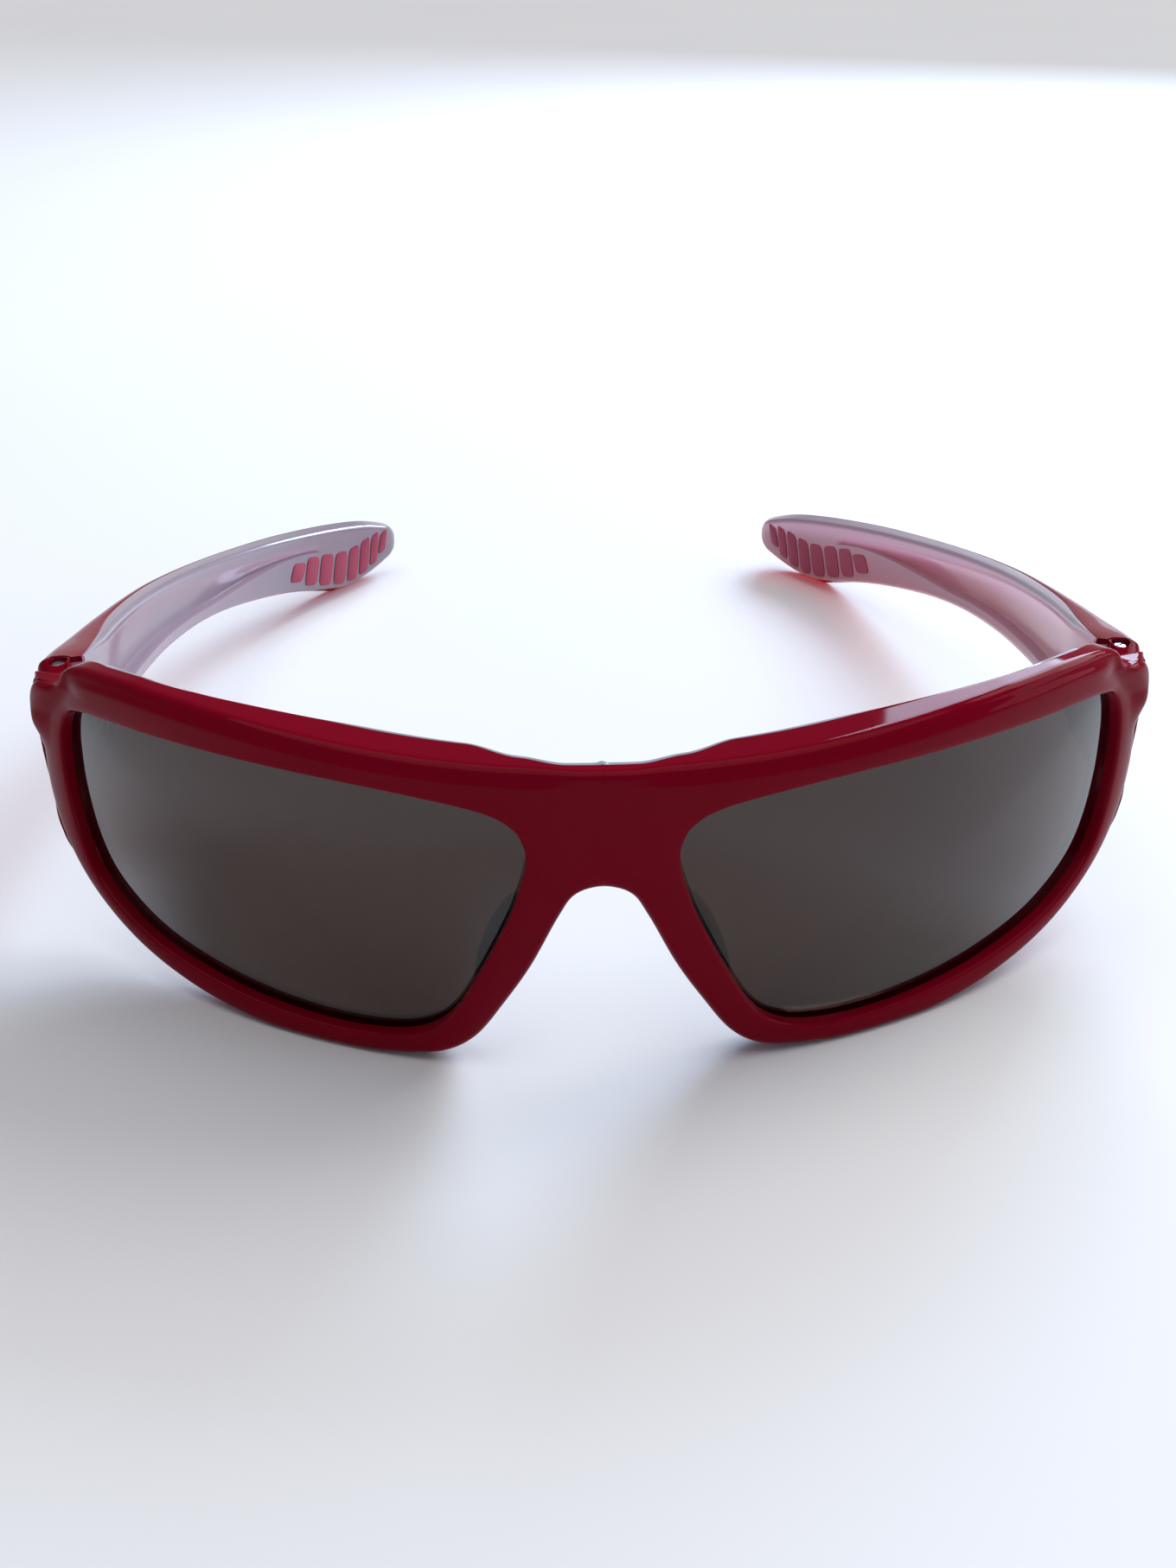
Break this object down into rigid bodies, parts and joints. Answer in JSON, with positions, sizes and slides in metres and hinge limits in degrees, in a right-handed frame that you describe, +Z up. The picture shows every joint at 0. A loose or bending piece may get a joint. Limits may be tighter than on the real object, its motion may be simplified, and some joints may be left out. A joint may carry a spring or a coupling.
{
  "type": "sport_sunglasses",
  "caption": "Wraparound sport sunglasses with a curved two-layer frame, tinted lenses and long curved temples that fold on steel hinges, for shading the eyes during sport.",
  "frame": {"origin": "on the ground plane, at the middle of the outline seen from above", "axes": "+Z up, the front of the glasses faces -Y, the temples run back along +Y, +X is the wearer's left"},
  "size_m": [0.1412, 0.1538, 0.0423],
  "materials": {
    "frame_red": "polished deep crimson",
    "milky_plastic": "milky, slightly lavender, satin",
    "lens_tint": "dark brown-grey tint, polished",
    "pad_rubber": "matte muted red",
    "hinge_steel": "plain steel",
    "badge_metal": "bright plated metal"
  },
  "bodies": {
    "body": {"front_frame": "frame_red", "front_backing": "milky_plastic", "lens_left": "lens_tint", "lens_right": "lens_tint", "nose_pad_left": "pad_rubber", "nose_pad_right": "pad_rubber", "hinge_front_leaf_left": "hinge_steel", "hinge_front_leaf_right": "hinge_steel", "hinge_screw_left": "hinge_steel", "hinge_screw_right": "hinge_steel"},
    "temple_left": {"temple_shell_left": "frame_red", "temple_liner_left": "milky_plastic", "tip_pad_left": "pad_rubber", "temple_badge_left": "badge_metal", "hinge_temple_leaf_left": "hinge_steel"},
    "temple_right": {"temple_shell_right": "frame_red", "temple_liner_right": "milky_plastic", "tip_pad_right": "pad_rubber", "temple_badge_right": "badge_metal", "hinge_temple_leaf_right": "hinge_steel"}
  },
  "joints": [
    {"name": "temple_left_fold", "type": "hinge", "parent": "body", "child": "temple_left", "pos_m": [0.0664, -0.04199, 0.0323], "axis": [0, 0, 1], "range_deg": [0, 74]},
    {"name": "temple_right_fold", "type": "hinge", "parent": "body", "child": "temple_right", "pos_m": [-0.0664, -0.04199, 0.0323], "axis": [0, 0, -1], "range_deg": [0, 64]}
  ]
}
